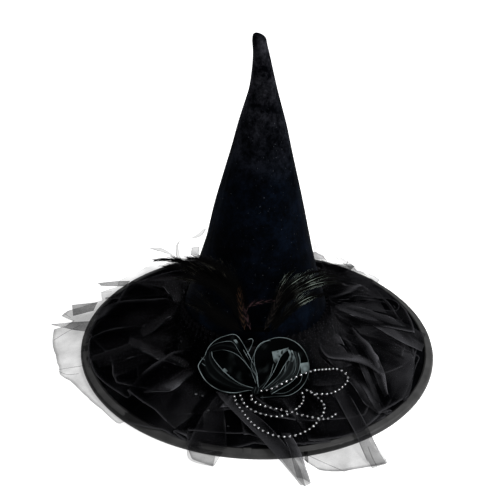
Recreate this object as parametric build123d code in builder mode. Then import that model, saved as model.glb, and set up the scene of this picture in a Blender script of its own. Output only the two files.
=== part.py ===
"""Witch hat: velvet cone on a wide wired brim, with a tulle ruffle and a trim of satin, feathers and beads.

Millimetres. The origin is the centre of the head opening, at the lower edge of the sweatband.
+Z runs up to the tip, -Y is the front, where the trim is, and +X is the wearer's left.
"""

import os
from math import radians, tan

from build123d import *

# Brim: four thin cones on one slope, falling from the head opening to the rim.
HEAD_R = 90.0  # inside of the sweatband
BAND = 1.0  # sweatband thickness
BAND_H = 26.0
BRIM_IN = HEAD_R + BAND
BRIM_OUT = 226.5  # edge of the cloth, inside the binding
RIM_R = 230.0
SLOPE = 0.145
UNDERSIDE_T = 0.4
BRIM_CORE_T = 2.0
VELVET_T = 1.0
BRIM_T = UNDERSIDE_T + BRIM_CORE_T + VELVET_T
WIRE_R = 1.0
BINDING_T = 0.6
BINDING_IN = 218.5  # inner edge of the binding
FLOOR = -21.0  # underside of the binding, where the hat stands

# Crown: outside radius and height of its wall, up to where the tip starts to bend over.
CROWN_X = -2.0
CROWN_WALL = [
    (100.5, 2.8),
    (96.6, 27.0),
    (86.0, 58.0),
    (71.5, 108.0),
    (58.0, 158.0),
    (46.5, 208.0),
    (33.8, 258.0),
    (20.5, 308.0),
    (12.4, 338.0),
]
TIP_R = 8.0
TIP_AT = (-7.4, 0, 378)
CROWN_CORE_T = 2.0
LINING_T = 0.4
SEAM_W = 4.0
SEAM_T = 0.9

# Ruffle: circles of tulle hung from a gathered heading round the crown.
GATHER_Z = 30.5
GATHER_R = 96.8
TULLE_T = 0.8
TULLE_LIFT = 1.2  # of the lowest layer above the brim
TULLE_STEP = 1.2  # from one layer to the next
HEADING_LOW, HEADING_HIGH = 32.0, 41.0
HEADING_R = 95.4
HEADING_T = 2.5
STITCHES = 28

# Trim. The flower leans back on the crown from its knot, and the feathers lean as the crown does.
FLOWER = Plane(origin=(0, -140, 4), x_dir=(1, 0, 0), z_dir=(0, -0.69, 0.72))
FEATHERS = Plane(origin=(0, -92, 56), x_dir=(1, 0, 0), z_dir=(0, -0.963, 0.27))
PETAL_T = 1.0
PETAL_CUP_R = 110.0
FEATHER_T = 0.7
FEATHER_STEP = 1.6
QUILL_R = 0.6
THREAD_R = 0.4
BEAD_R = 1.9
BEAD_PITCH = 6.3

CROWN_AXIS = Axis((CROWN_X, 0, 0), (0, 0, 1))
CROWN_SECTION = Plane((CROWN_X, 0, 0), x_dir=(1, 0, 0), z_dir=(0, -1, 0))


def save(part, label):
    """Label a finished piece and write it under its own name."""
    part.label = label
    export_step(part, f"parts/{label}.step")


def brim_top(r):
    """Height of the brim's upper surface at a radius."""
    return BRIM_T - SLOPE * (r - BRIM_IN)


def brim_layer(depth, thickness):
    """One cloth of the brim, its upper face this deep below the brim's upper surface."""
    with BuildPart() as layer:
        with BuildSketch(Plane.XZ):
            with BuildLine():
                Polyline(
                    (BRIM_IN, brim_top(BRIM_IN) - depth),
                    (BRIM_OUT, brim_top(BRIM_OUT) - depth),
                    (BRIM_OUT, brim_top(BRIM_OUT) - depth - thickness),
                    (BRIM_IN, brim_top(BRIM_IN) - depth - thickness),
                    close=True,
                )
            make_face()
        revolve(axis=Axis.Z)
    return layer.part


def cone(inset):
    """The crown as a closed solid, its surface this far inside the velvet's."""
    shoulder_r, shoulder_z = CROWN_WALL[-1]
    with BuildPart() as solid:
        with BuildSketch(CROWN_SECTION):
            with BuildLine():
                wall = Polyline([(r - inset, z) for r, z in CROWN_WALL])
                Polyline(wall @ 1, (0, shoulder_z), (0, CROWN_WALL[0][1]), wall @ 0)
            make_face()
        revolve(axis=CROWN_AXIS)
        with BuildSketch(Plane((CROWN_X, 0, shoulder_z))):
            Circle(shoulder_r - inset)
        with BuildSketch(Plane(TIP_AT)):
            Circle(TIP_R - inset)
        loft()
        with Locations(TIP_AT):
            Sphere(
                TIP_R - inset,
                arc_size1=0,
                arc_size2=90,
                align=(Align.CENTER, Align.CENTER, Align.MIN),
            )
    return solid.part


def crown_layer(outer, inner):
    """One cloth of the crown, between two nested cones."""
    with BuildPart() as layer:
        add(cone(outer))
        add(cone(inner), mode=Mode.SUBTRACT)
    return layer.part


def tulle_layer(level, centre, radii):
    """One circle of tulle: down the crown, out over the brim and past the rim, cut to an oval."""
    lift = TULLE_LIFT + level * TULLE_STEP
    gather_z = GATHER_Z - 2.2 * level
    with BuildPart() as layer:
        with BuildSketch(CROWN_SECTION):
            with BuildLine():
                under = Polyline(
                    (GATHER_R + 2.6 * level, gather_z),
                    (103 + 2.2 * level, 14 + 0.5 * level),
                    (122, brim_top(120) + lift),
                    (232, brim_top(230) + lift),
                    (300, FLOOR + 2 + lift),
                )
                over = Polyline(
                    (300, FLOOR + 2 + lift + TULLE_T),
                    (232, brim_top(230) + lift + TULLE_T),
                    (122.4, brim_top(120) + lift + TULLE_T),
                    (103.8 + 2.2 * level, 14 + 0.5 * level),
                    (GATHER_R + 2.6 * level + TULLE_T, gather_z),
                )
                Line(under @ 1, over @ 0)
                Line(over @ 1, under @ 0)
            make_face()
        revolve(axis=CROWN_AXIS)
        with BuildSketch(Plane.XY.offset(FLOOR)):
            with Locations(centre):
                Ellipse(*radii)
        extrude(amount=80, mode=Mode.INTERSECT)
    return layer.part


def petal(outline, cup_centre, level):
    """A cupped piece of satin: an outline on the flower's plane cut from a hollow ball."""
    u, v = cup_centre
    with BuildPart() as piece:
        with BuildSketch(FLOWER):
            with BuildLine():
                Spline(*outline, periodic=True)
            make_face()
        extrude(amount=30, both=True)
        with Locations(FLOWER.offset(level) * Pos(u, v, PETAL_CUP_R)):
            Sphere(PETAL_CUP_R, mode=Mode.INTERSECT)
            Sphere(PETAL_CUP_R - PETAL_T, mode=Mode.SUBTRACT)
    return piece.part


def feather(root, tip, width, arch, layer):
    """A flat arched vane with its quill, on one layer of the feathers' plane."""
    start, end = Vector(*root), Vector(*tip)
    along = end - start
    side = Vector(along.Y, -along.X).normalized()
    with BuildPart() as piece:
        with BuildSketch(FEATHERS.offset(layer * FEATHER_STEP)):
            with BuildLine():
                right_edge = Spline(
                    start + side * QUILL_R,
                    start + along * 0.3 + side * (arch * 0.84 + width * 0.45),
                    start + along * 0.68 + side * (arch * 0.87 + width * 0.5),
                    end,
                )
                left_edge = Spline(
                    end,
                    start + along * 0.68 + side * (arch * 0.87 - width * 0.5),
                    start + along * 0.3 + side * (arch * 0.84 - width * 0.45),
                    start - side * QUILL_R,
                )
                Line(left_edge @ 1, right_edge @ 0)
            make_face()
        extrude(amount=FEATHER_T)
    return piece.part


def bend_radii(points):
    """For each corner of a route, the largest arc that its two runs allow."""
    spots = [Vector(*p) for p in points]
    radii = []
    for before, here, after in zip(spots, spots[1:], spots[2:]):
        turn = (here - before).get_angle(after - here)
        shorter = min((here - before).length, (after - here).length)
        radii.append(0.45 * shorter / tan(radians(turn / 2)))
    return radii


def bead_strand(points, label):
    """A bead strand: its thread, as runs and arcs, and beads fixed along it at one pitch."""
    radii = bend_radii(points)
    with BuildPart() as thread:
        with BuildLine():
            route = FilletPolyline(*points, radius=radii)
        with BuildSketch(Plane(route @ 0, z_dir=route % 0)):
            Circle(THREAD_R)
        sweep()
    count = int(route.length / BEAD_PITCH)
    first = (route.length - (count - 1) * BEAD_PITCH) / 2
    with BuildPart() as beads:
        for i in range(count):
            with Locations(route.position_at((first + i * BEAD_PITCH) / route.length)):
                Sphere(BEAD_R)
    print(label, "length", round(route.length), "beads", count, "radii", [round(r) for r in radii])
    save(thread.part, f"bead_thread_{label}")
    save(beads.part, f"beads_{label}")


os.makedirs("parts", exist_ok=True)

# Crown
save(crown_layer(0, VELVET_T), "crown_velvet")
save(crown_layer(VELVET_T, VELVET_T + CROWN_CORE_T), "crown_interlining")
save(crown_layer(VELVET_T + CROWN_CORE_T, VELVET_T + CROWN_CORE_T + LINING_T), "crown_lining")

with BuildPart() as crown_back_seam:
    add(cone(-SEAM_T))
    with Locations((CROWN_X, 60, 48)):
        Box(SEAM_W, 120, 290, align=(Align.CENTER, Align.CENTER, Align.MIN), mode=Mode.INTERSECT)
    add(cone(0), mode=Mode.SUBTRACT)
save(crown_back_seam.part, "crown_back_seam")

with BuildPart() as sweatband:
    with BuildSketch():
        Circle(HEAD_R + BAND)
        Circle(HEAD_R, mode=Mode.SUBTRACT)
    extrude(amount=BAND_H)
save(sweatband.part, "sweatband")

# Brim
save(brim_layer(0, VELVET_T), "brim_top_velvet")
save(brim_layer(VELVET_T, BRIM_CORE_T), "brim_interlining")
save(brim_layer(VELVET_T + BRIM_CORE_T, UNDERSIDE_T), "brim_underside")

WIRE_Z = brim_top(RIM_R - 2) - BRIM_T / 2
with BuildPart() as brim_wire:
    with BuildSketch(Plane.XZ):
        with Locations((RIM_R - 2, WIRE_Z)):
            Circle(WIRE_R)
    revolve(axis=Axis.Z)
save(brim_wire.part, "brim_wire")

# The binding folds over the edge of the brim and round the wire, and is flat underneath.
with BuildPart() as brim_binding:
    with BuildSketch(Plane.XZ):
        with BuildLine():
            Polyline(
                (BINDING_IN, brim_top(BINDING_IN)),
                (BINDING_IN, brim_top(BINDING_IN) + BINDING_T),
                (RIM_R - 1.6, brim_top(RIM_R - 1.6) + BINDING_T),
                (RIM_R, WIRE_Z + 1),
                (RIM_R, WIRE_Z - 1.5),
                (RIM_R - 1.2, FLOOR),
                (RIM_R - 6, FLOOR),
                (BINDING_IN, brim_top(BINDING_IN) - BRIM_T - BINDING_T),
                (BINDING_IN, brim_top(BINDING_IN) - BRIM_T),
                (BRIM_OUT, brim_top(BRIM_OUT) - BRIM_T),
                (RIM_R - BINDING_T, WIRE_Z - 1.2),
                (RIM_R - BINDING_T, WIRE_Z + 0.8),
                (BRIM_OUT, brim_top(BRIM_OUT)),
                close=True,
            )
        make_face()
    revolve(axis=Axis.Z)
save(brim_binding.part, "brim_binding")

# The lapped end of the binding is a short second thickness at the front of the rim.
with BuildPart() as binding_join:
    with BuildSketch(Plane.YZ.offset(-12)):
        with BuildLine():
            Polyline(
                (-BINDING_IN - 0.5, brim_top(BINDING_IN) + BINDING_T + 0.1),
                (-BINDING_IN - 0.5, brim_top(BINDING_IN) + BINDING_T + 0.7),
                (2 - RIM_R, brim_top(RIM_R - 2) + BINDING_T + 0.7),
                (2 - RIM_R, brim_top(RIM_R - 2) + BINDING_T + 0.1),
                close=True,
            )
        make_face()
    extrude(amount=9)
save(binding_join.part, "binding_join")

# Ruffle
save(tulle_layer(0, (-20, -6), (252, 276)), "tulle_under_layer")
save(tulle_layer(1, (-14, -4), (236, 252)), "tulle_middle_layer")
save(tulle_layer(2, (-6, -2), (205, 215)), "tulle_top_layer")

with BuildPart() as ruffle_heading:
    with BuildSketch(CROWN_SECTION):
        with BuildLine():
            Polyline(
                (HEADING_R, HEADING_LOW),
                (HEADING_R + HEADING_T, HEADING_LOW),
                (HEADING_R - 3 + HEADING_T, HEADING_HIGH),
                (HEADING_R - 3, HEADING_HIGH),
                close=True,
            )
        make_face()
    revolve(axis=CROWN_AXIS)
save(ruffle_heading.part, "ruffle_heading")

HEADING_MID = (HEADING_LOW + HEADING_HIGH) / 2
with BuildPart() as heading_stitches:
    with Locations((CROWN_X, 0, HEADING_MID)):
        with PolarLocations(HEADING_R - 1.5 + HEADING_T + 0.55, STITCHES):
            Box(0.7, 4.5, 0.7)
save(heading_stitches.part, "heading_stitches")

SEQUIN_R = 1.5
with BuildPart() as sequins:
    for x, y in [(-70, -144), (-62, -147), (-54, -170), (-112, -96), (112, -74), (128, -62), (-30, -193)]:
        height = brim_top((x * x + y * y) ** 0.5) + 5.6
        with Locations((x, y, height)):
            Cylinder(SEQUIN_R, 0.3)
save(sequins.part, "sequins")

# Flower
with BuildPart() as flower_backing:
    with BuildSketch(FLOWER.offset(-6.5)):
        with Locations((-2, 32)):
            Circle(21)
    extrude(amount=1.5)
save(flower_backing.part, "flower_backing")

LEFT_OUTER = [(-8, 3), (-16, -3), (-38, -5), (-56, 5), (-70, 24), (-70, 38), (-60, 51), (-43, 63), (-29, 67)]
LEFT_OUTER += [(-22, 62), (-18, 48), (-11, 34), (-4, 16)]
LEFT_MIDDLE = [(-10, 6), (-28, 8), (-46, 22), (-56, 38), (-54, 49), (-36, 50), (-24, 42), (-13, 24)]
LEFT_INNER = [(-11, 9), (-24, 18), (-36, 34), (-38, 47), (-28, 46), (-19, 33)]
RIGHT_OUTER = [(8, 3), (14, -3), (36, -4), (50, -1), (59, 12), (62, 27), (60, 42), (48, 54), (31, 62)]
RIGHT_OUTER += [(17, 65), (5, 61), (-3, 50), (-5, 41), (1, 22)]
RIGHT_MIDDLE = [(10, 6), (30, 6), (46, 18), (52, 36), (44, 50), (27, 52), (14, 40), (9, 22)]
RIGHT_INNER = [(11, 9), (22, 18), (37, 34), (41, 46), (31, 48), (20, 36)]
save(petal(LEFT_OUTER, (-36, 30), -2), "petal_left_outer")
save(petal(LEFT_MIDDLE, (-34, 30), 1), "petal_left_middle")
save(petal(LEFT_INNER, (-30, 30), 4), "petal_left_inner")
save(petal(RIGHT_OUTER, (30, 30), -2), "petal_right_outer")
save(petal(RIGHT_MIDDLE, (30, 30), 1), "petal_right_middle")
save(petal(RIGHT_INNER, (28, 30), 4), "petal_right_inner")

with BuildPart() as flower_curl:
    with BuildSketch(FLOWER.offset(14)):
        with Locations((-13, 45)):
            Circle(2)
    with BuildSketch(FLOWER.offset(20)):
        with Locations((-9, 60)):
            Circle(5)
    loft()
save(flower_curl.part, "flower_curl")

with BuildPart() as flower_knot:
    with Locations(FLOWER * Pos(0, -1.5, 5)):
        Sphere(5.5)
save(flower_knot.part, "flower_knot")

# Feathers: root and tip on the feathers' plane, width, arch to the side, and layer.
with BuildPart() as feather_binding:
    with Locations(FEATHERS * Pos(0, 2, 3)):
        Cylinder(2.6, 30, rotation=(0, 90, 0))
save(feather_binding.part, "feather_binding")

LEFT_PLUME = [
    ((-20, 3), (-125, 81), 15, 22),
    ((-20, 4), (-104, 86), 15, 18),
    ((-19, 5), (-71, 83), 16, 9),
    ((-19, 6), (-54, 83), 14, 5),
    ((-18, 8), (-38, 74), 11, 2),
    ((-20, 1), (-68, 42), 16, 9),
]
RIGHT_PLUME = [
    ((20, 3), (99, 58), 14, -18),
    ((20, 4), (92, 68), 15, -15),
    ((19, 5), (71, 76), 15, -8),
    ((19, 7), (40, 74), 12, -3),
    ((20, 1), (73, 46), 16, -10),
]
CENTRE = [
    ((-14, 6), (-22, 60), 11, 1),
    ((-8, 6), (17, 44), 12, 6),
    ((8, 6), (24, 62), 9, -3),
]
for i, (root, tip, width, arch) in enumerate(LEFT_PLUME):
    save(feather(root, tip, width, arch, i), f"feather_left_{i + 1}")
for i, (root, tip, width, arch) in enumerate(RIGHT_PLUME):
    save(feather(root, tip, width, arch, i), f"feather_right_{i + 1}")
for i, (root, tip, width, arch) in enumerate(CENTRE):
    save(feather(root, tip, width, arch, -1.2 - i), f"feather_centre_{i + 1}")

# Bead strands: four loops from the knot and from under the lobes, each laid on the ruffle.
STRAND_A = [(2, -145, 7), (11, -147, 9), (22, -144, 12), (33, -141, 16), (43, -136, 19), (54, -132, 23)]
STRAND_A += [(66, -126, 26), (78, -112, 19), (91, -99, 10), (103, -99, 5), (109, -109, 3), (106, -122, 2)]
STRAND_A += [(96, -135, 2), (84, -144, 4), (73, -147, 6), (64, -145, 6), (56, -138, 7)]
STRAND_B = [(-4, -146, 4), (-7, -154, 3), (0, -161, 2), (11, -166, 1), (24, -168, 0), (36, -171, -1)]
STRAND_B += [(48, -175, -1), (59, -181, 1), (71, -184, 1), (80, -182, -2), (88, -176, -3), (94, -168, -3)]
STRAND_C = [(-19, -145, 4), (-16, -156, 2), (-11, -165, 0), (-2, -173, 0), (10, -178, -1), (22, -181, -1)]
STRAND_C += [(33, -181, 1), (42, -177, 3), (50, -168, 4), (55, -158, 3), (56, -148, 3), (53, -139, 5)]
STRAND_D = [(-25, -145, 2), (-24, -158, 1), (-15, -172, -1), (-7, -186, -3), (4, -198, -4), (15, -205, -5)]
STRAND_D += [(28, -209, -6), (41, -208, -6), (54, -202, -5), (64, -194, -4), (72, -183, -3), (78, -172, -2)]
STRAND_D += [(80, -161, 0), (77, -152, 0), (70, -144, 1), (61, -135, 4)]
for label, points in zip("abcd", (STRAND_A, STRAND_B, STRAND_C, STRAND_D)):
    bead_strand(points, label)
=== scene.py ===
"""Witch hat: the looks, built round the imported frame. Metres, in the part's own axes.

+Z runs up to the tip, -Y is the front with the flower, and z = 0 is the lower edge of the sweatband.
"""

import math
import random

import bpy
import numpy as np
from mathutils import Matrix, Vector, noise


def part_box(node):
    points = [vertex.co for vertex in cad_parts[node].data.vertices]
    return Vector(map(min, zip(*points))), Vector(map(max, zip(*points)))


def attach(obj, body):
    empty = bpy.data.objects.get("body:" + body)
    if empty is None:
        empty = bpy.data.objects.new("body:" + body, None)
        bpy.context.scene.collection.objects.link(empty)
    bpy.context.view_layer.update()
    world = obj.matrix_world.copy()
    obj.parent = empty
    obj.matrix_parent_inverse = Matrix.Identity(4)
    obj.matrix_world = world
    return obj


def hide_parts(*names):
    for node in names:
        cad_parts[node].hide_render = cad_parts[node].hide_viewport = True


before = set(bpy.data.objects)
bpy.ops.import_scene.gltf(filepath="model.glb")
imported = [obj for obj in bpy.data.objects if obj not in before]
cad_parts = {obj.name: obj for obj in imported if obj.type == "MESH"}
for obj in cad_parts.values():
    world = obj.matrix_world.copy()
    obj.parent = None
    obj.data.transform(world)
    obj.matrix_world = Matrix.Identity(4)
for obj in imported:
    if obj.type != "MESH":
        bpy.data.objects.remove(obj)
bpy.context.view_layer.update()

MM = 0.001
FLOOR_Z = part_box("brim_binding")[0].z
RIM_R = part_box("brim_binding")[1].x
BRIM_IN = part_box("brim_top_velvet")[1].z  # height of the brim at the head opening
BRIM_IN_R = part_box("sweatband")[1].x
SLOPE = 0.145  # fall of the brim for each unit of radius


def brim_top(r):
    """Height of the brim's upper surface at a radius."""
    return BRIM_IN - SLOPE * (r - BRIM_IN_R)


# ---------------------------------------------------------------- camera


def make_camera():
    yaw, pitch, roll = math.radians(0.70), math.radians(28.80), math.radians(1.06)
    ahead = Vector((-math.sin(yaw) * math.cos(pitch), math.cos(yaw) * math.cos(pitch), -math.sin(pitch)))
    right = Vector((math.cos(yaw), math.sin(yaw), 0))
    up = right.cross(ahead)
    right, up = (
        right * math.cos(roll) + up * math.sin(roll),
        up * math.cos(roll) - right * math.sin(roll),
    )
    data = bpy.data.cameras.new("camera")
    data.lens = 62.06
    data.sensor_width = 36
    camera = bpy.data.objects.new("camera", data)
    bpy.context.scene.collection.objects.link(camera)
    turn = Matrix((right, up, -ahead)).transposed().to_4x4()
    camera.matrix_world = Matrix.Translation((0, -0.9464, 0.6348)) @ turn
    bpy.context.scene.camera = camera


make_camera()


# ---------------------------------------------------------------- mesh helpers


def new_object(name, verts, faces, material, smooth=True):
    mesh = bpy.data.meshes.new(name)
    mesh.from_pydata([tuple(v) for v in verts], [], faces)
    mesh.update()
    if smooth:
        mesh.polygons.foreach_set("use_smooth", [True] * len(mesh.polygons))
    obj = bpy.data.objects.new(name, mesh)
    bpy.context.scene.collection.objects.link(obj)
    mesh.materials.append(material)
    return obj


def grid_faces(rows, cols, start=0, wrap=False):
    """Quads over a grid of rows x cols points, wrapping round in the column direction or not."""
    last = cols if wrap else cols - 1
    faces = []
    for i in range(rows - 1):
        for j in range(last):
            k = (j + 1) % cols
            near, far = start + i * cols, start + (i + 1) * cols
            faces.append((near + j, near + k, far + k, far + j))
    return faces


def set_shade(obj, values, name="shade"):
    """A number on each vertex that the material reads."""
    layer = obj.data.attributes.new(name, "FLOAT", "POINT")
    layer.data.foreach_set("value", [float(v) for v in values])


def solidify(obj, thickness, offset=0.0):
    mod = obj.modifiers.new("thickness", "SOLIDIFY")
    mod.thickness = thickness
    mod.offset = offset


def wobble(x, y=0.0, z=0.0, seed=0.0):
    return noise.noise(Vector((x, y + 11.3 * seed, z - 7.1 * seed)))


def smooth_route(points, samples):
    """Evenly spaced points on an open smooth line through the given points."""
    pts = [Vector(p) for p in points]
    pts = [2 * pts[0] - pts[1]] + pts + [2 * pts[-1] - pts[-2]]
    dense = []
    for i in range(1, len(pts) - 2):
        a, b, c, d = pts[i - 1 : i + 3]
        for k in range(16):
            t = k / 16
            bend, twist = 2 * a - 5 * b + 4 * c - d, 3 * b - a - 3 * c + d
            dense.append(0.5 * ((2 * b) + (c - a) * t + bend * t * t + twist * t**3))
    dense.append(pts[-2])
    return even_points(dense, samples)


def even_points(line, samples):
    """The same line, as this many points at equal distances along it."""
    reach = [0.0]
    for a, b in zip(line, line[1:]):
        reach.append(reach[-1] + (b - a).length)
    out = []
    for target in np.linspace(0, reach[-1], samples):
        i = min(int(np.searchsorted(reach, target, side="right")) - 1, len(line) - 2)
        span = max(reach[i + 1] - reach[i], 1e-9)
        out.append(line[i].lerp(line[i + 1], (target - reach[i]) / span))
    return out


def tube(line, radius, sides=8):
    """Vertices and faces of a round tube along a line; radius is a number or one for each point."""
    radii = radius if isinstance(radius, (list, tuple)) else [radius] * len(line)
    verts = []
    normal = Vector((0, 0, 1))
    for i, p in enumerate(line):
        ahead = (line[min(i + 1, len(line) - 1)] - line[max(i - 1, 0)]).normalized()
        normal = (normal - ahead * normal.dot(ahead)).normalized()
        side = ahead.cross(normal)
        for k in range(sides):
            a = 2 * math.pi * k / sides
            verts.append(p + (normal * math.cos(a) + side * math.sin(a)) * radii[i])
    faces = grid_faces(len(line), sides, wrap=True)
    faces.append(tuple(range(sides))[::-1])
    faces.append(tuple(range((len(line) - 1) * sides, len(line) * sides)))
    return verts, faces


class Pile:
    """Several meshes gathered into one piece."""

    def __init__(self):
        self.verts, self.faces, self.shade = [], [], []

    def add(self, verts, faces, shade=0.0):
        start = len(self.verts)
        self.verts += list(verts)
        self.faces += [tuple(start + v for v in face) for face in faces]
        self.shade += list(shade) if isinstance(shade, (list, tuple, np.ndarray)) else [shade] * len(verts)

    def build(self, name, material, smooth=True):
        obj = new_object(name, self.verts, self.faces, material, smooth)
        set_shade(obj, self.shade)
        return obj


# ---------------------------------------------------------------- materials


class Nodes:
    """A short way to write a node tree."""

    def __init__(self, name):
        self.material = bpy.data.materials.new(name)
        self.material.use_nodes = True
        self.tree = self.material.node_tree
        self.shader = self.tree.nodes["Principled BSDF"]

    def add(self, kind, **settings):
        node = self.tree.nodes.new(kind)
        for key, value in settings.items():
            if key in node.inputs:
                node.inputs[key].default_value = value
            else:
                setattr(node, key, value)
        return node

    def link(self, output, target):
        self.tree.links.new(output, target)

    def set(self, **sockets):
        for key, value in sockets.items():
            self.shader.inputs[key.replace("_", " ")].default_value = value

    def coords(self):
        return self.add("ShaderNodeTexCoord").outputs["Object"]

    def noise(self, scale, detail=3.0, rough=0.55, coords=None, stretch=None):
        node = self.add("ShaderNodeTexNoise", Scale=scale, Detail=detail, Roughness=rough)
        source = coords or self.coords()
        if stretch:
            mapping = self.add("ShaderNodeMapping")
            mapping.inputs["Scale"].default_value = stretch
            self.link(source, mapping.inputs["Vector"])
            source = mapping.outputs["Vector"]
        self.link(source, node.inputs["Vector"])
        return node.outputs["Fac"]

    def ramp(self, value, *stops):
        node = self.add("ShaderNodeValToRGB")
        elements = node.color_ramp.elements
        while len(elements) < len(stops):
            elements.new(0.5)
        for element, (place, colour) in zip(elements, stops):
            element.position = place
            element.color = (*colour, 1) if len(colour) == 3 else colour
        self.link(value, node.inputs["Fac"])
        return node.outputs["Color"]

    def math(self, operation, a, b=None, clamp=False):
        node = self.add("ShaderNodeMath", operation=operation, use_clamp=clamp)
        for socket, value in zip(node.inputs, (a, b)):
            if value is None:
                continue
            if isinstance(value, (int, float)):
                socket.default_value = value
            else:
                self.link(value, socket)
        return node.outputs[0]

    def mix(self, factor, a, b):
        node = self.add("ShaderNodeMix", data_type="RGBA")
        for socket, value in ((node.inputs[0], factor), (node.inputs[6], a), (node.inputs[7], b)):
            if isinstance(value, (int, float)):
                socket.default_value = value
            elif isinstance(value, tuple):
                socket.default_value = (*value, 1)
            else:
                self.link(value, socket)
        return node.outputs[2]

    def attribute(self, name="shade"):
        return self.add("ShaderNodeAttribute", attribute_name=name).outputs["Fac"]

    def bump(self, height, strength, distance):
        node = self.add("ShaderNodeBump", Strength=strength, Distance=distance)
        self.link(height, node.inputs["Height"])
        self.link(node.outputs["Normal"], self.shader.inputs["Normal"])

    def colour(self, output):
        self.link(output, self.shader.inputs["Base Color"])

    def rough(self, output):
        self.link(output, self.shader.inputs["Roughness"])


def velvet(name, tone, painted_tip_light, lint, cool):
    """Black pile in soft patches: a painted highlight makes it lighter and neutral towards the tip, cooler
    lower down, with a few specks of lint.
    """
    n = Nodes(name)
    fine = n.math("MULTIPLY", n.noise(240, detail=4, rough=0.8), 0.5)
    patches = n.math("ADD", n.noise(32, detail=5, rough=0.68), fine)
    height = n.add("ShaderNodeSeparateXYZ")
    n.link(n.coords(), height.inputs[0])
    # Painted highlight: above 0.22 m the pile blends from its tone to a lighter grey towards the tip, where
    # light from above falls.
    up = n.math("MULTIPLY", n.math("SUBTRACT", height.outputs["Z"], 0.22), 8.0, clamp=True)
    lit = n.mix(up, tone, painted_tip_light)
    dark = tuple(0.12 * c for c in tone)
    share = n.ramp(patches, (0.64, (0, 0, 0)), (0.76, (0.30, 0.30, 0.30)), (0.90, (1, 1, 1)))
    pile_colour = n.mix(share, dark, lit)
    low = n.math("SUBTRACT", 1.0, n.math("MULTIPLY", height.outputs["Z"], 14.0), clamp=True)
    cloud = n.ramp(n.noise(30, detail=3), (0.54, (0, 0, 0)), (0.66, (0.6, 0.6, 0.6)))
    blue = n.math("MULTIPLY", n.math("MULTIPLY", low, cloud), cool)
    tinted = n.mix(blue, pile_colour, (0.003, 0.012, 0.024))
    specks = n.noise(620, detail=1.5, rough=0.4)
    dust = n.ramp(specks, (0.745, (0, 0, 0)), (0.78, (lint, lint, lint)))
    n.colour(n.mix(dust, tinted, (0.07, 0.075, 0.085)))
    n.set(Roughness=0.9, Sheen_Weight=0.006, Sheen_Roughness=0.5, Sheen_Tint=(0.30, 0.45, 0.70, 1))
    n.set(Specular_IOR_Level=0.01)
    pile = n.noise(1500, detail=2, rough=0.6)
    creases = n.noise(16, detail=3, rough=0.5)
    n.bump(n.math("ADD", n.math("MULTIPLY", pile, 0.12), creases), 0.35, 0.002)
    return n.material


def satin(name, dark, light, rough, gloss):
    """Satin: black in the folds, grey where the weave faces the light."""
    n = Nodes(name)
    n.colour(n.mix(n.attribute(), dark, light))
    drift = n.noise(60, detail=3)
    n.rough(n.ramp(drift, (0.35, (rough * 0.8,) * 3), (0.7, (rough * 1.3,) * 3)))
    n.set(Specular_IOR_Level=gloss, Anisotropic=0.35)
    weave = n.noise(900, detail=1, stretch=(1, 1, 0.2))
    pucker = n.noise(90, detail=2)
    n.bump(n.math("ADD", n.math("MULTIPLY", weave, 0.15), pucker), 0.25, 0.0012)
    return n.material


def tulle(name, cover, thin, close):
    """Soft net: see-through, closer along its folds and hems, which the mesh marks."""
    n = Nodes(name)
    puff = n.ramp(n.noise(15, detail=3), (0.52, (0, 0, 0)), (0.72, (0.13, 0.13, 0.13)))
    n.colour(n.mix(n.math("ADD", n.attribute(), puff, clamp=True), thin, close))
    cells = n.noise(900, detail=1.5, rough=0.5)
    cloud = n.ramp(n.noise(26, detail=3), (0.35, (0.62, 0.62, 0.62)), (0.65, (0.98, 0.98, 0.98)))
    open_net = n.math("ADD", n.math("MULTIPLY", cells, 0.25), n.math("ADD", cloud, 0.07))
    loose = n.math("MULTIPLY", open_net, cover)
    grain = n.math("ADD", n.math("MULTIPLY", n.math("SUBTRACT", cells, 0.5), 0.5), 0.85)
    tight = n.math("MULTIPLY", n.math("MULTIPLY", n.attribute(), 0.62), grain)
    n.link(n.math("ADD", loose, tight, clamp=True), n.shader.inputs["Alpha"])
    n.set(Roughness=0.8, Specular_IOR_Level=0.0)
    return n.material


def feather_vane(name, shadow, body, tip):
    """Barbs that go from near black at the shaft to a dull gloss at their ends."""
    n = Nodes(name)
    # Painted highlight streaks: noise lightens some barbs and darkens others.
    streak = n.noise(75, detail=3)
    shade = n.math("ADD", n.attribute(), n.math("MULTIPLY", n.math("SUBTRACT", streak, 0.5), 0.9), clamp=True)
    n.colour(n.ramp(shade, (0.3, shadow), (0.68, body), (0.98, tip)))
    n.set(Roughness=0.5, Specular_IOR_Level=0.02)
    return n.material


def barred_vane(name, bright):
    """A brown feather with dark bars across it; the mesh's shade runs along the feather."""
    n = Nodes(name)
    wave = n.math("SINE", n.math("MULTIPLY", n.attribute(), 40.0))
    bars = n.math("ADD", n.math("MULTIPLY", wave, 0.35), n.math("MULTIPLY", n.noise(230, detail=3), 1.6))
    n.colour(n.ramp(n.math("MULTIPLY", bars, 0.6), (0.40, (0.0006, 0.0005, 0.0005)), (0.72, bright)))
    n.set(Roughness=0.5, Specular_IOR_Level=0.03)
    return n.material


def plain_cloth(name, colour, rough, grain, height, gloss=0.1):
    """Lining, felt or foam: a fine grain over a plain colour."""
    n = Nodes(name)
    fibre = n.noise(grain, detail=3, rough=0.7)
    n.colour(n.ramp(fibre, (0.3, tuple(0.6 * c for c in colour)), (0.7, tuple(1.5 * c for c in colour))))
    n.set(Roughness=rough, Specular_IOR_Level=gloss)
    n.bump(fibre, 0.4, height)
    return n.material


def bead_glaze():
    n = Nodes("gunmetal_bead")
    drift = n.noise(300, detail=1)
    n.colour(n.ramp(drift, (0.3, (0.32, 0.32, 0.34)), (0.7, (0.75, 0.75, 0.77))))
    n.set(Metallic=0.9, Roughness=0.16, Coat_Weight=0.4, Coat_Roughness=0.08)
    return n.material


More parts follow.
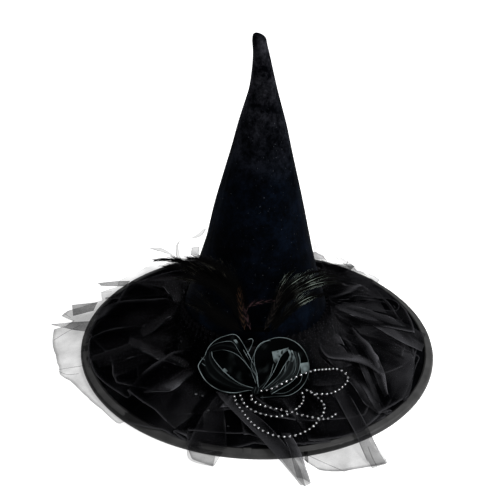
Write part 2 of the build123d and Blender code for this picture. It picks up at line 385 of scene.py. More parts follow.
def glitter():
    n = Nodes("silver_glitter")
    n.colour(n.ramp(n.noise(900, detail=0), (0.3, (0.16, 0.17, 0.18)), (0.7, (0.42, 0.43, 0.45))))
    n.set(Metallic=1.0, Roughness=0.25)
    return n.material


def bright_wire():
    n = Nodes("hoop_steel")
    n.colour(n.ramp(n.noise(500, stretch=(1, 1, 0.05)), (0.3, (0.35, 0.35, 0.36)), (0.7, (0.6, 0.6, 0.62))))
    n.set(Metallic=1.0, Roughness=0.35)
    return n.material


M_CROWN = velvet("crown_velvet_pile", (0.0014, 0.0026, 0.0056), (0.0220, 0.0222, 0.0270), 0.6, 0.8)
M_BRIM = velvet("brim_velvet_pile", (0.0016, 0.0017, 0.0022), (0.0016, 0.0017, 0.0022), 0.03, 0.0)
M_BINDING = satin("binding_satin", (0.002, 0.002, 0.002), (0.06, 0.06, 0.06), 0.45, 0.12)
M_PETAL = satin("petal_satin", (0.0002, 0.0002, 0.0003), (0.24, 0.295, 0.305), 0.34, 0.0)
M_TULLE = tulle("black_tulle", 0.445, (0.0008, 0.0008, 0.0011), (0.072, 0.072, 0.079))
M_HEADING = tulle("gathered_tulle", 1.2, (0.0025, 0.0025, 0.003), (0.008, 0.008, 0.009))
M_LINING = plain_cloth("lining_cloth", (0.012, 0.012, 0.013), 0.6, 1400, 0.0003)
M_FOAM = plain_cloth("interlining_foam", (0.02, 0.02, 0.021), 0.9, 700, 0.0006)
M_FELT = plain_cloth("black_felt", (0.004, 0.004, 0.0045), 0.95, 500, 0.0008)
M_THREAD = plain_cloth("black_thread", (0.004, 0.004, 0.004), 0.55, 2500, 0.0002)
M_FEATHER = feather_vane("coque_black", (0.0002,) * 3, (0.0006,) * 3, (0.045, 0.044, 0.036))
# The right plume: the same black coque made lighter, its grey-green body and pale tips a painted olive sheen.
M_OLIVE_SHEEN = feather_vane("coque_olive_sheen", (0.0003, 0.0003, 0.0003), (0.017, 0.0185, 0.016), (0.27, 0.32, 0.28))
M_DARK_THREAD = plain_cloth("dark_thread", (0.0005, 0.0005, 0.0005), 0.8, 2500, 0.0002, gloss=0.0)
M_BARRED = barred_vane("barred_brown", (0.027, 0.014, 0.008))
M_ROSE = barred_vane("barred_rose", (0.034, 0.018, 0.021))
M_DIM = barred_vane("barred_dim", (0.010, 0.008, 0.007))
M_BEAD = bead_glaze()
M_SEQUIN = glitter()
M_WIRE = bright_wire()


# ---------------------------------------------------------------- bead strands

THREAD_D = 0.8 * MM
BEAD_R = 1.5 * MM
BEAD_PITCH = 6.3 * MM

STRANDS = {
    "a": [
        (2, -145, 7), (11, -147, 9), (22, -144, 12), (33, -142, 18), (43, -137, 21), (54, -133, 24),
        (66, -127, 25), (76, -119, 21), (87, -110, 15), (98, -102, 10), (107, -104, 6), (111, -113, 4),
        (106, -124, 3), (96, -135, 2), (84, -144, 4), (73, -147, 6), (64, -145, 6), (56, -138, 7),
    ],
    "b": [
        (-4, -146, 4), (-7, -154, 3), (0, -161, 2), (11, -166, 1), (24, -168, 0), (36, -171, -1),
        (48, -175, -1), (59, -181, 1), (71, -184, 1), (80, -182, -2), (88, -176, -3), (94, -168, -3),
    ],
    "c": [
        (-19, -145, 4), (-16, -156, 2), (-11, -165, 0), (-2, -173, 0), (10, -178, -1), (22, -181, -1),
        (33, -181, 1), (42, -177, 3), (50, -168, 4), (55, -158, 3), (56, -148, 3), (53, -139, 5),
    ],
    "d": [
        (-25, -145, 2), (-24, -158, 1), (-15, -172, -1), (-7, -186, -3), (4, -198, -4), (15, -205, -5),
        (28, -209, -6), (41, -208, -6), (54, -202, -5), (64, -194, -4), (72, -183, -3), (78, -172, -2),
        (80, -161, 0), (77, -152, 0), (70, -144, 1), (61, -135, 4),
    ],
}


def ball(centre, radius, rings=9, sides=14):
    verts = [centre + Vector((0, 0, radius))]
    for i in range(1, rings):
        a = math.pi * i / rings
        for k in range(sides):
            b = 2 * math.pi * k / sides
            out = Vector((math.sin(a) * math.cos(b), math.sin(a) * math.sin(b), math.cos(a)))
            verts.append(centre + radius * out)
    verts.append(centre - Vector((0, 0, radius)))
    faces = [(0, 1 + k, 1 + (k + 1) % sides) for k in range(sides)]
    faces += grid_faces(rings - 1, sides, start=1, wrap=True)
    low = 1 + (rings - 2) * sides
    faces += [(len(verts) - 1, low + (k + 1) % sides, low + k) for k in range(sides)]
    return verts, faces


def read_line(curve):
    """The points of a curve's own line."""
    bevel = curve.data.bevel_depth
    curve.data.bevel_depth = 0
    mesh = bpy.data.meshes.new_from_object(curve)
    curve.data.bevel_depth = bevel
    line = [v.co.copy() for v in mesh.vertices]
    bpy.data.meshes.remove(mesh)
    return line


def make_strand(label, points):
    """One thread on its route, with beads fixed along it at one pitch."""
    data = bpy.data.curves.new(f"bead_thread_{label}_line", "CURVE")
    data.dimensions = "3D"
    data.resolution_u = 10
    data.bevel_depth = THREAD_D / 2
    data.bevel_resolution = 2
    spline = data.splines.new("NURBS")
    spline.points.add(len(points) - 1)
    for spot, (x, y, z) in zip(spline.points, points):
        spot.co = (x * MM, y * MM, z * MM, 1)
    spline.order_u = 3
    spline.use_endpoint_u = True
    data.materials.append(M_THREAD)
    thread = bpy.data.objects.new(f"thread_{label}", data)
    bpy.context.scene.collection.objects.link(thread)
    bpy.context.view_layer.update()
    line = read_line(thread)
    length = sum((b - a).length for a, b in zip(line, line[1:]))
    count = int(length / BEAD_PITCH)
    first = (length - (count - 1) * BEAD_PITCH) / 2
    spots = even_points(line, 2000)
    pile = Pile()
    rng = random.Random(label)
    for i in range(count):
        at = spots[round((first + i * BEAD_PITCH) / length * 1999)]
        pile.add(*ball(at, BEAD_R * rng.uniform(0.94, 1.04)))
    beads = pile.build(f"bead_row_{label}", M_BEAD)
    for piece, slot, node in ((thread, "thread", "bead_thread_"), (beads, "beads", "beads_")):
        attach(piece, "hat")
        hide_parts(node + label)


for label, points in STRANDS.items():
    make_strand(label, points)


# ---------------------------------------------------------------- crown

# Height, radius and sideways lean of the velvet's outside.
CROWN = np.array([
    (2.8, 101.0, -2.0),
    (20, 97.0, -3.0),
    (40, 90.8, -3.4),
    (85, 77.9, -2.5),
    (130, 65.3, -1.6),
    (180, 53.4, -1.7),
    (230, 41.6, -1.0),
    (280, 28.8, 0.0),
    (325, 15.9, 0.3),
    (350, 11.4, -1.5),
    (368, 8.8, -3.3),
    (379, 7.9, -5.9),
]) * MM
DOME = 8.6 * MM
TIP_LEAN = 3.6 * MM


def crown_at(z):
    """Radius and lean of the crown at a height, smoothed between the measured heights."""
    span = 9 * MM
    heights = [min(max(z + k * span, CROWN[0][0]), CROWN[-1][0]) for k in (-1, -0.5, 0, 0.5, 1)]
    weights = (1, 2, 3, 2, 1)
    r = sum(w * np.interp(h, CROWN[:, 0], CROWN[:, 1]) for w, h in zip(weights, heights)) / 9
    x = sum(w * np.interp(h, CROWN[:, 0], CROWN[:, 2]) for w, h in zip(weights, heights)) / 9
    return float(r), float(x)


def crown_surface(name, inset, material, creased, rows=150, cols=144):
    """One cloth of the crown: a cone with a rounded tip, a little dented and creased if asked."""
    top, tip_x = CROWN[-1][0], CROWN[-1][2]
    verts = []
    for i in range(rows):
        z = CROWN[0][0] + (top - CROWN[0][0]) * i / (rows - 1)
        r, lean = crown_at(z)
        for k in range(cols):
            a = 2 * math.pi * k / cols
            dent = 0.0
            if creased:
                soft = min(1.0, r / (30 * MM))
                dent = 1.1 * MM * soft * wobble(2.2 * math.cos(a), 2.2 * math.sin(a), z * 14)
                dent += 0.5 * MM * soft * wobble(9 * math.cos(a), 9 * math.sin(a), z * 9, seed=2)
                dent = max(dent, -0.7 * MM)
            reach = r - inset + dent
            verts.append((lean + reach * math.cos(a), reach * math.sin(a), z))
    dome_rows = 8
    r, lean = crown_at(top)
    for i in range(1, dome_rows):
        t = math.pi / 2 * i / dome_rows
        for k in range(cols):
            a = 2 * math.pi * k / cols
            reach = (r - inset) * math.cos(t)
            # The tip's highest point sits to the left, so its right side slopes.
            verts.append((lean - TIP_LEAN * math.sin(t) ** 2 + reach * math.cos(a), reach * math.sin(a),
                          top + (DOME - inset * 0.5) * math.sin(t)))
    verts.append((lean - TIP_LEAN, 0, top + DOME - inset * 0.5))
    total = rows + dome_rows - 1
    faces = grid_faces(total, cols, wrap=True)
    ring = (total - 1) * cols
    faces += [(ring + k, ring + (k + 1) % cols, total * cols) for k in range(cols)]
    return new_object(name, verts, faces, material)


def make_crown():
    shell = crown_surface("crown_pile", 0.0, M_CROWN, True)
    solidify(shell, 0.9 * MM, -1)
    core = crown_surface("crown_foam", 1.9 * MM, M_FOAM, False, rows=80, cols=96)
    solidify(core, 1.2 * MM, -1)
    inner = crown_surface("crown_inner_cloth", 3.3 * MM, M_LINING, False, rows=80, cols=96)
    solidify(inner, 0.3 * MM, -1)
    for piece, slot, node in (
        (shell, "velvet", "crown_velvet"),
        (core, "interlining", "crown_interlining"),
        (inner, "lining", "crown_lining"),
    ):
        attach(piece, "hat")
        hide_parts(node)


def make_back_seam():
    """The turned-in back seam of the velvet: two soft lips with a groove between them."""
    low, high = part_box("crown_back_seam")[0].z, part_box("crown_back_seam")[1].z
    rows = 120
    profile = [(-2.6, 0.0), (-1.6, 0.55), (-0.7, 0.6), (0, 0.05), (0.7, 0.6), (1.6, 0.55), (2.6, 0.0)]
    verts = []
    for i in range(rows):
        z = low + (high - low) * i / (rows - 1)
        r, lean = crown_at(z)
        taper = min(1.0, (high - z) / (20 * MM) + 0.15)
        drift = 0.5 * MM * wobble(z * 30, seed=5)
        for across, out in profile:
            verts.append((lean + across * MM * taper + drift, r + (out * taper - 0.15) * MM, z))
    seam = new_object("crown_seam_lips", verts, grid_faces(rows, len(profile)), M_CROWN)
    solidify(seam, 0.4 * MM, -1)
    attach(seam, "hat")
    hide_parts("crown_back_seam")


make_crown()
make_back_seam()


# ---------------------------------------------------------------- brim

def finish_node(node, material):
    """A carried-over CAD node takes a better material on every slot."""
    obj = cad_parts[node]
    if not obj.material_slots:
        obj.data.materials.append(material)
    for slot in obj.material_slots:
        slot.material = material


for node, material in (
    ("brim_top_velvet", M_BRIM),
    ("brim_interlining", M_FOAM),
    ("brim_underside", M_LINING),
    ("brim_wire", M_WIRE),
    ("sweatband", M_LINING),
    ("flower_backing", M_FELT),
):
    finish_node(node, material)


def make_binding():
    """Bias binding folded round the wire: slightly puckered, and near black along its inner edge."""
    inner = 218.5 * MM
    profile = []
    top = [(inner, 0.9), (220.4 * MM, 1.1), (221.2 * MM, 1.15)]
    top += [(223 * MM, 1.05), (225 * MM, 1.2), (227.4 * MM, 1.25)]
    for r, lift in top:
        profile.append((r, brim_top(r) + lift * MM))
    mid_z = (brim_top(RIM_R) + FLOOR_Z) / 2
    profile += [(229.4 * MM, mid_z + 1.7 * MM), (230.0 * MM, mid_z), (229.6 * MM, mid_z - 1.6 * MM)]
    low = FLOOR_Z + 0.36 * MM
    profile += [(228.6 * MM, low), (224 * MM, low), (inner, brim_top(inner) - 4.0 * MM)]
    cols = 720
    verts, shade = [], []
    for i, (r, z) in enumerate(profile):
        for k in range(cols):
            a = 2 * math.pi * k / cols
            pucker = 0.28 * MM * wobble(math.cos(a) * 38, math.sin(a) * 38, i * 0.35)
            if i >= 8:
                pucker = 0
            out = r + pucker * 0.5
            verts.append((out * math.cos(a), out * math.sin(a), max(z + pucker, low)))
            lit = 0.58 + 0.19 * wobble(math.cos(a) * 22, math.sin(a) * 22, i * 0.2, seed=3)
            shade.append(0.0 if i < 2 else lit)
    band = new_object("rim_binding", verts, grid_faces(len(profile), cols, wrap=True), M_BINDING)
    set_shade(band, shade)
    solidify(band, 0.35 * MM, -1)
    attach(band, "hat")
    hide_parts("brim_binding")

    join = Pile()
    rows, cols = 9, 16
    points, marks = [], []
    for i in range(rows):
        r = inner + (RIM_R - 1.5 * MM - inner) * i / (rows - 1)
        for k in range(cols):
            across = (-12.5 + 9.5 * k / (cols - 1)) * MM
            puff = 0.3 * MM * math.sin(math.pi * k / (cols - 1))
            puff += 0.12 * MM * wobble(k * 0.5, i * 0.5, seed=8)
            dip = 2.0 * MM * max(0.0, (i - 6) / 2) ** 2
            points.append((across, -math.sqrt(r * r - across * across), brim_top(r) + 1.45 * MM + puff - dip))
            marks.append(0.3 if k in (0, cols - 1) else 0.7)
            marks[-1] *= 0.0 if i < 2 else 1.0
    join.add(points, grid_faces(rows, cols), marks)
    lap = join.build("binding_lap", M_BINDING)
    solidify(lap, 0.35 * MM, -1)
    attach(lap, "hat")
    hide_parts("binding_join")


make_binding()


# ---------------------------------------------------------------- ruffle

GATHER_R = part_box("ruffle_heading")[1].x
GATHER_Z = 33 * MM
CENTRE_X = -2 * MM


def zigzag(x):
    """A wave with straight flanks and narrow corners."""
    return math.asin(0.985 * math.sin(x)) / 1.397


def calm(x, y):
    """Near 0 under the flower and beads, where the net lies flat, and 1 elsewhere."""
    apart = math.hypot((x - 40 * MM) / (88 * MM), (y + 165 * MM) / (62 * MM))
    return min(1.0, max(0.12, (apart - 0.75) / 0.5))


def fall(r, lift):
    """Height of the ruffle's middle line: down the crown, then out over the brim and past its edge."""
    on_brim = brim_top(min(r, RIM_R)) + lift
    if r > RIM_R:
        on_brim = max(on_brim - (r - RIM_R) * 0.16, FLOOR_Z + 1.0 * MM + lift * 0.5)
    steep = math.exp(-((r - GATHER_R) / (9 * MM)))
    return on_brim + (GATHER_Z - brim_top(GATHER_R) - lift) * steep


def outline(angle, table):
    """Reach of a sheet at an angle, from a short list of (degrees, mm)."""
    degrees = math.degrees(angle) % 360
    spots = [(d - 360, r) for d, r in table[-2:]] + list(table) + [(d + 360, r) for d, r in table[:2]]
    return float(np.interp(degrees, [s[0] for s in spots], [s[1] for s in spots])) * MM


def ruffle_layer(pile, table, folds, lift, tall, sway, seed, still=(), cols=1100, rows=46):
    """A gathered circle of tulle: tight gathers at the heading that open into folds lying over."""
    verts, shade = [], []
    for i in range(rows):
        t = (i / (rows - 1)) ** 1.15
        for k in range(cols):
            a = 2 * math.pi * k / cols
            x, y = math.cos(a), math.sin(a)
            phase = folds * a + 7.0 * wobble(x * 1.8, y * 1.8, t * 0.5, seed)
            phase += 2.2 * wobble(x * 5, y * 5, t * 1.0, seed + 1)
            size = max(0.0, 0.45 + 1.9 * wobble(x * 3.1, y * 3.1, t * 0.4, seed + 2))
            degrees = math.degrees(a)
            pale = 0.0
            for first, last, faint in still:
                inside = min(1.0, max(0.0, min(degrees - first, last - degrees) / 4))
                size *= 1 - 0.92 * inside
                pale += faint * inside
            open_out = min(1.0, t / 0.3)
            wave = zigzag(phase)
            bend = 0.16 * wobble(x * 1.5, y * 1.5, t * 1.3, seed + 6) * t
            mid = GATHER_R + (180 * MM - GATHER_R) * t
            turn = a + bend + sway * (0.25 + 0.75 * open_out) * size * wave / mid
            reach = outline(turn, table) - 5 * MM * (0.5 - 0.5 * wave) * (1 if size > 0.5 else 0.3)
            fine = math.cos(5 * folds * a + 3 * wobble(x * 3, y * 3, seed=seed + 8)) * math.exp(-t / 0.16)
            r = GATHER_R - 1.5 * MM + (reach - GATHER_R) * t + 1.6 * MM * fine * (1 - t)
            z = fall(r, lift)
            flat = calm(r * math.cos(turn), r * math.sin(turn))
            edge = 1.0 - 0.55 * max(0.0, min(1.0, (r - RIM_R) / (0.1 * RIM_R)))
            z += tall * size * (0.2 + 0.8 * open_out) * (0.5 - 0.5 * wave) * flat * edge
            z += 1.3 * MM * fine * (0.3 + 0.7 * flat)
            floor = brim_top(r) if r < RIM_R + 1 * MM else FLOOR_Z
            z = max(z, floor + 0.7 * MM + lift * 0.35)
            verts.append((CENTRE_X * (1 - t) + r * math.cos(turn), r * math.sin(turn), z))
            crease = max(0.0, (abs(wave) - 0.78) / 0.22) ** 3 * min(1.0, size)
            crease *= min(1.0, max(0.1, 0.55 + 1.6 * wobble(x * 4, y * 4, t * 3, seed + 5)))
            hem = math.exp(-(1 - t) / 0.010)
            beyond = min(1.0, max(0.0, (r - RIM_R) / (6 * MM)))
            # Painted light: one flank of every fold over the brim is made lighter, as if it faced the lamp.
            painted_fold_light = 0.09 * max(0.0, math.sin(phase + 0.7)) ** 1.5 * open_out**2
            painted_fold_light = painted_fold_light * min(1.0, size) * (1 - beyond)
            mark = 0.75 * crease * open_out + (0.55 - 0.4 * pale) * hem + 0.04 * max(0.0, fine) + painted_fold_light
            shade.append(min(1.0, mark) - pale * 0.3 * beyond)
    pile.add(verts, grid_faces(rows, cols, wrap=True), shade)


def settle(point, lift):
    """A point of a fold: given two numbers it lies on the brim or the table, given three it stands free."""
    x, y = point[0] * MM, point[1] * MM
    if len(point) == 3:
        return Vector((x, y, point[2] * MM))
    r = math.hypot(x, y)
    if r < RIM_R:
        return Vector((x, y, brim_top(r) + lift))
    return Vector((x, y, max(brim_top(RIM_R) + lift - (r - RIM_R) * 0.25, FLOOR_Z + 1.2 * MM)))


def sweep(start, end, bow=0, count=4):
    """A pleat's edge on the brim between two (degrees, reach in mm), bowed by some degrees at its middle."""
    points = []
    for i in range(count):
        t = i / (count - 1)
        turn = math.radians(start[0] + (end[0] - start[0]) * t + bow * math.sin(math.pi * t))
        reach = start[1] + (end[1] - start[1]) * t
        points.append((reach * math.cos(turn), reach * math.sin(turn)))
    return points


def fold(pile, left, right, close, lift=5.0, swell=1.6, rows=46, cols=19, hem=0.9, line=0.55, seed=0.0,
         melt=0.6):
    """A pleat of net lying over the rest: close at its hems, lit from one side, melting away at its ends."""
    one = smooth_route([settle(p, lift * MM) for p in left], rows)
    two = smooth_route([settle(p, lift * MM) for p in right], rows)
    verts, shade = [], []
    for i in range(rows):
        wide = (two[i] - one[i]).length
        worn = [min(1.0, max(0.15, 0.6 + 1.5 * wobble(i * 0.11, seed=3.1 * seed + side))) for side in (0, 5)]
        for k in range(cols):
            # Columns crowd towards the two hems, so that the hems stay thin lines.
            s = 0.5 - 0.5 * math.cos(math.pi * k / (cols - 1))
            at = one[i].lerp(two[i], s)
            flat = calm(at.x, at.y)
            lump = swell * MM * flat * (math.sin(math.pi * s) + 0.9 * wobble(at.x * 60, at.y * 60, seed=seed))
            low = FLOOR_Z + 0.8 * MM if math.hypot(at.x, at.y) > RIM_R else -1
            verts.append(Vector((at.x, at.y, max(at.z + lump, low))))
            near = min(s, 1 - s) * wide
            edge = hem * worn[s > 0.5] * math.exp(-((near / (line * MM)) ** 2))
            across = s if seed % 2 else 1 - s
            body = close * (1 + melt * (2.2 * across**1.5 - 0.9 + wobble(i * 0.12, s * 2, seed=seed + 9)))
            ends = 1 - melt + melt * math.sin(math.pi * (i + 0.5) / rows) ** 0.5
            shade.append(min(1.0, (body + edge) * ends) if close > 0 else close + edge)
    pile.add(verts, grid_faces(rows, cols), shade)


def seam_line(pile, points, strength=0.8, width=0.9, lift=5.4):
    """A single sharp crease: a narrow ribbon of doubled net."""
    line = smooth_route([settle(p, lift * MM) for p in points], 40)
    verts, marks = [], []
    for i, at in enumerate(line):
        ahead = (line[min(i + 1, 39)] - line[max(i - 1, 0)]).normalized()
        side = Vector((ahead.y, -ahead.x, 0)) * width * MM / 2
        verts += [at - side, at + Vector((0, 0, 0.3 * MM)), at + side]
        worn = min(1.0, max(0.1, 0.6 + 1.5 * wobble(i * 0.1 + points[0][0], points[0][1] * 0.3)))
        marks += [0.2 * strength * worn, strength * worn, 0.2 * strength * worn]
    pile.add(verts, grid_faces(40, 3), marks)


UNDER = [(0, 214), (16, 219), (30, 225), (39, 222), (41, 242), (47, 244), (50, 233), (54, 246),
         (57, 232), (62, 228), (66, 250), (70, 262), (73, 240), (85, 232), (100, 240), (108, 252),
         (115, 236), (121, 248), (128, 238), (133, 252), (139, 246), (146, 250), (150, 238), (155, 252),
         (160, 236), (164, 254), (168, 272), (171, 276), (173, 256), (176, 262), (178, 275), (187, 268),
         (194, 262), (200, 261), (204, 252), (214, 243), (221, 241), (229, 243), (236, 233), (242, 224),
         (250, 226), (252, 238), (254, 248), (260, 251), (261.5, 228), (270, 214), (276, 218),
         (281, 226), (284, 246), (286, 257), (292, 267), (297, 270), (302.5, 275), (303.5, 250),
         (305, 228), (312, 222), (323, 223), (335, 212), (348, 209)]
MIDDLE = [(0, 206), (20, 198), (40, 214), (60, 222), (85, 216), (105, 226), (118, 220), (130, 227),
          (145, 222), (160, 226), (174, 226), (190, 226), (205, 222), (218, 212), (235, 206),
          (250, 219), (268, 204), (285, 222), (298, 226), (304, 224), (318, 214), (335, 196),
          (350, 208)]
TOP = [(0, 192), (25, 204), (48, 182), (75, 206), (92, 192), (110, 214), (128, 196), (146, 218),
       (165, 206), (182, 224), (198, 196), (214, 206), (228, 178), (240, 198), (262, 168), (285, 186),
       (308, 208), (322, 182), (340, 200)]


def right_folds(pile):
    """The pleats that fan out to the right, with the net's cut edge short of the rim."""
    gather_creases(pile, 52, 6)
    fold(pile, sweep((26, 120), (-4, 220), -3), sweep((20, 115), (-9, 215), -6), 0.42, seed=1)
    fold(pile, sweep((-3, 125), (-40, 205), -1), sweep((-6, 122), (-42, 205), -6),
         0.5, lift=7, swell=3, seed=2)
    fold(pile, sweep((-12, 115), (-44, 205), -4), sweep((-15, 112), (-46, 205), -5),
         0.32, lift=6, swell=2, seed=3)
    fold(pile, [(74, -60), (90, -52), (107, -53), (118, -72)],
         [(76, -66), (84, -80), (100, -92), (118, -82)], 0.34, lift=9, swell=4, seed=4)
    fold(pile, [(62, -118, 20), (76, -112, 16), (90, -104, 10), (104, -100, 4)],
         [(66, -134, 8), (80, -130, 6), (94, -124, 3), (110, -116, 2)],
         0.05, swell=0.6, hem=0.1, line=1.2, seed=47)
    fold(pile, [(109, -105), (119, -125), (128, -146), (140, -158)],
         [(118, -104), (130, -116), (142, -138), (154, -158)], 0.34, seed=5)
    fold(pile, [(94, -140), (112, -191), (119, -214), (128, -240)],
         [(111, -133), (130, -189), (137, -212), (145, -232)], 0.16, lift=5, swell=0.6, seed=6)
    fold(pile, [(124, -7), (142, -44), (152, -86), (160, -132)],
         [(166, -16), (198, -42), (193, -88), (179, -134)], 0.20, lift=4, swell=1, hem=0.25, seed=9)
    fold(pile, [(104, 30), (122, 8), (134, -14), (142, -40)], [(110, 52), (150, 30), (180, 8), (200, -40)],
         0.14, lift=4, swell=1.5, hem=0.2, seed=10)
    fold(pile, [(85, 40), (128, 62), (150, 72), (168, 84)], [(90, 28), (130, 45), (156, 50), (176, 48)],
         0.22, seed=7)
    fold(pile, [(62, 100), (98, 132), (130, 150), (166, 150)],
         [(84, 74), (118, 100), (152, 112), (184, 112)], 0.16, seed=8)
    fold(pile, sweep((65, 225), (26, 212), -3), sweep((52, 155), (27, 190)),
         0.17, lift=4.5, swell=1.0, hem=0.15, line=1.5, seed=49, melt=0.3)
    fold(pile, sweep((-16, 75), (-33, 110), -5), sweep((4, 82), (-25, 122)),
         0.26, lift=9, swell=4, line=1.0, seed=45)
    fold(pile, sweep((25, 132), (2, 224)), sweep((14, 128), (-5, 215)),
         0.22, lift=5, swell=1.5, line=1.2, seed=46)
    for points in (
        [(132, 86), (160, 88), (186, 89), (196, 80), (194, 63), (182, 54), (154, 60), (133, 71)],
        [(150, 78), (172, 78), (188, 72), (190, 64)],
        [(139, -16), (160, 2), (183, 18), (198, 40), (208, 61)],
        [(167, -18), (186, -32), (204, -44), (206, -50), (199, -68), (193, -89), (186, -114), (178, -135)],
        [(109, -105), (119, -107), (128, -109), (142, -132), (154, -158), (148, -158), (119, -156)],
        [(94, -140), (103, -166), (112, -191), (119, -214), (124, -230)],
        [(85, 12), (89, -15), (92, -46), (82, -62)],
        sweep((12, 98), (-26, 114)),
        [(100, 26), (110, -4), (116, -34)],
        [(60, -76), (74, -66), (92, -40)],
        [(72, -64), (84, -70), (96, -92)],
        [(104, 40), (124, 30), (150, 22), (176, 4)],
        [(106, 46), (130, 44), (156, 40), (190, 26)],
        [(112, 66), (140, 76), (166, 80)],
        [(108, 60), (140, 62), (170, 70)],
    ):
        seam_line(pile, points)


def left_folds(pile):
    """Long folds running left, the wedge by the flower and the diagonal pleat down to the front spike."""
    fold(pile, [(-132, 84), (-160, 88), (-186, 84), (-214, 80)],
         [(-128, 71), (-156, 73), (-196, 74), (-214, 74)], 0.20, seed=11)
    fold(pile, [(-134, 52), (-176, 54), (-209, 49)], [(-132, 35), (-174, 37), (-209, 36)], 0.22, seed=12)
    fold(pile, [(-109, 136), (-134, 138), (-159, 137)], [(-104, 115), (-132, 118), (-160, 120)],
         0.14, seed=13)
    fold(pile, [(-120, -52), (-148, -38), (-179, -50), (-208, -62)],
         [(-118, -72), (-146, -69), (-174, -81), (-196, -85)], 0.12, seed=14)
    fold(pile, [(-73, -107), (-83, -104), (-108, -120), (-132, -137)],
         [(-76, -110), (-97, -136), (-114, -138), (-132, -138)], 0.42, lift=6, seed=15)
    fold(pile, [(-94, -33), (-89, -12), (-90, -40), (-91, -81)],
         [(-97, -38), (-95, -36), (-98, -58), (-97, -78)], 0.3, lift=8, seed=16)
    fold(pile, [(-145, -16), (-120, 8), (-100, 34)], [(-127, -14), (-114, 0), (-103, 14)],
         0.24, lift=9, swell=3, seed=17)
    fold(pile, [(-47, -142), (-32, -164), (-8, -194), (11, -217), (33, -246), (50, -268)],
         [(-38, -141), (-20, -160), (7, -183), (29, -211), (46, -240), (55, -269)],
         0.30, lift=7, swell=1.5, hem=0.6, seed=18)
    fold(pile, [(29, -200), (36, -216), (40, -230), (46, -257)],
         [(40, -200), (47, -216), (52, -230), (61, -265)], 0.46, lift=5, seed=19)
    fold(pile, [(14, -210), (26, -230), (40, -250), (54, -270)],
         [(38, -200), (46, -222), (54, -242), (60, -266)], 0.10, lift=4.5, swell=0.5, hem=0.4, seed=23)
    fold(pile, [(-46, -146), (-62, -180), (-74, -220)], [(-40, -149), (-34, -182), (-30, -224)],
         0.12, swell=1, hem=0.35, line=1.6, seed=20)
    fold(pile, [(-74, -220), (-70, -238), (-44, -247)], [(-60, -216), (-54, -228), (-41, -227)],
         0.10, swell=0.4, seed=21)
    fold(pile, [(-95, 92), (-108, 105), (-122, 108)], [(-90, 66), (-112, 78), (-130, 88)],
         0.2, lift=9, swell=5, seed=22)
    fold(pile, sweep((177, 101), (217, 113), 3), sweep((182, 93), (224, 103), 2),
         0.28, lift=10, swell=3, line=0.9, seed=40)
    fold(pile, sweep((192, 165), (229, 121), -8), sweep((196, 170), (231, 132), -5),
         0.26, lift=7, swell=5, line=1.2, seed=41)
    fold(pile, sweep((194, 150), (169, 103), 5), sweep((189, 160), (165, 112)),
         0.20, lift=9, swell=5, line=1.2, seed=42)
    fold(pile, sweep((136, 177), (165, 97), -11), sweep((146, 164), (167, 109), -4),
         0.24, lift=9, swell=6, line=1.2, seed=43)
    fold(pile, sweep((234, 171), (234, 127), -2), sweep((225, 192), (229, 128)),
         0.22, lift=6, swell=2, seed=44)
    for points in (
        sweep((177, 225), (159, 128), -3),
        sweep((199, 218), (205, 148), -2),
        sweep((182, 93), (224, 103), 2),
        [(-218, 22), (-180, 16), (-146, 12)],
        sweep((197, 217), (194, 152), count=3) + sweep((199, 146), (206, 136), count=2),
        [(-174, -81), (-172, -94), (-170, -108)],
        [(-146, -90), (-142, -112), (-137, -133), (-132, -137)],
        [(-90, -31), (-86, -60), (-92, -92)],
        [(-186, 84), (-160, 88), (-132, 84), (-112, 78)],
    ):
        seam_line(pile, points, 0.55)


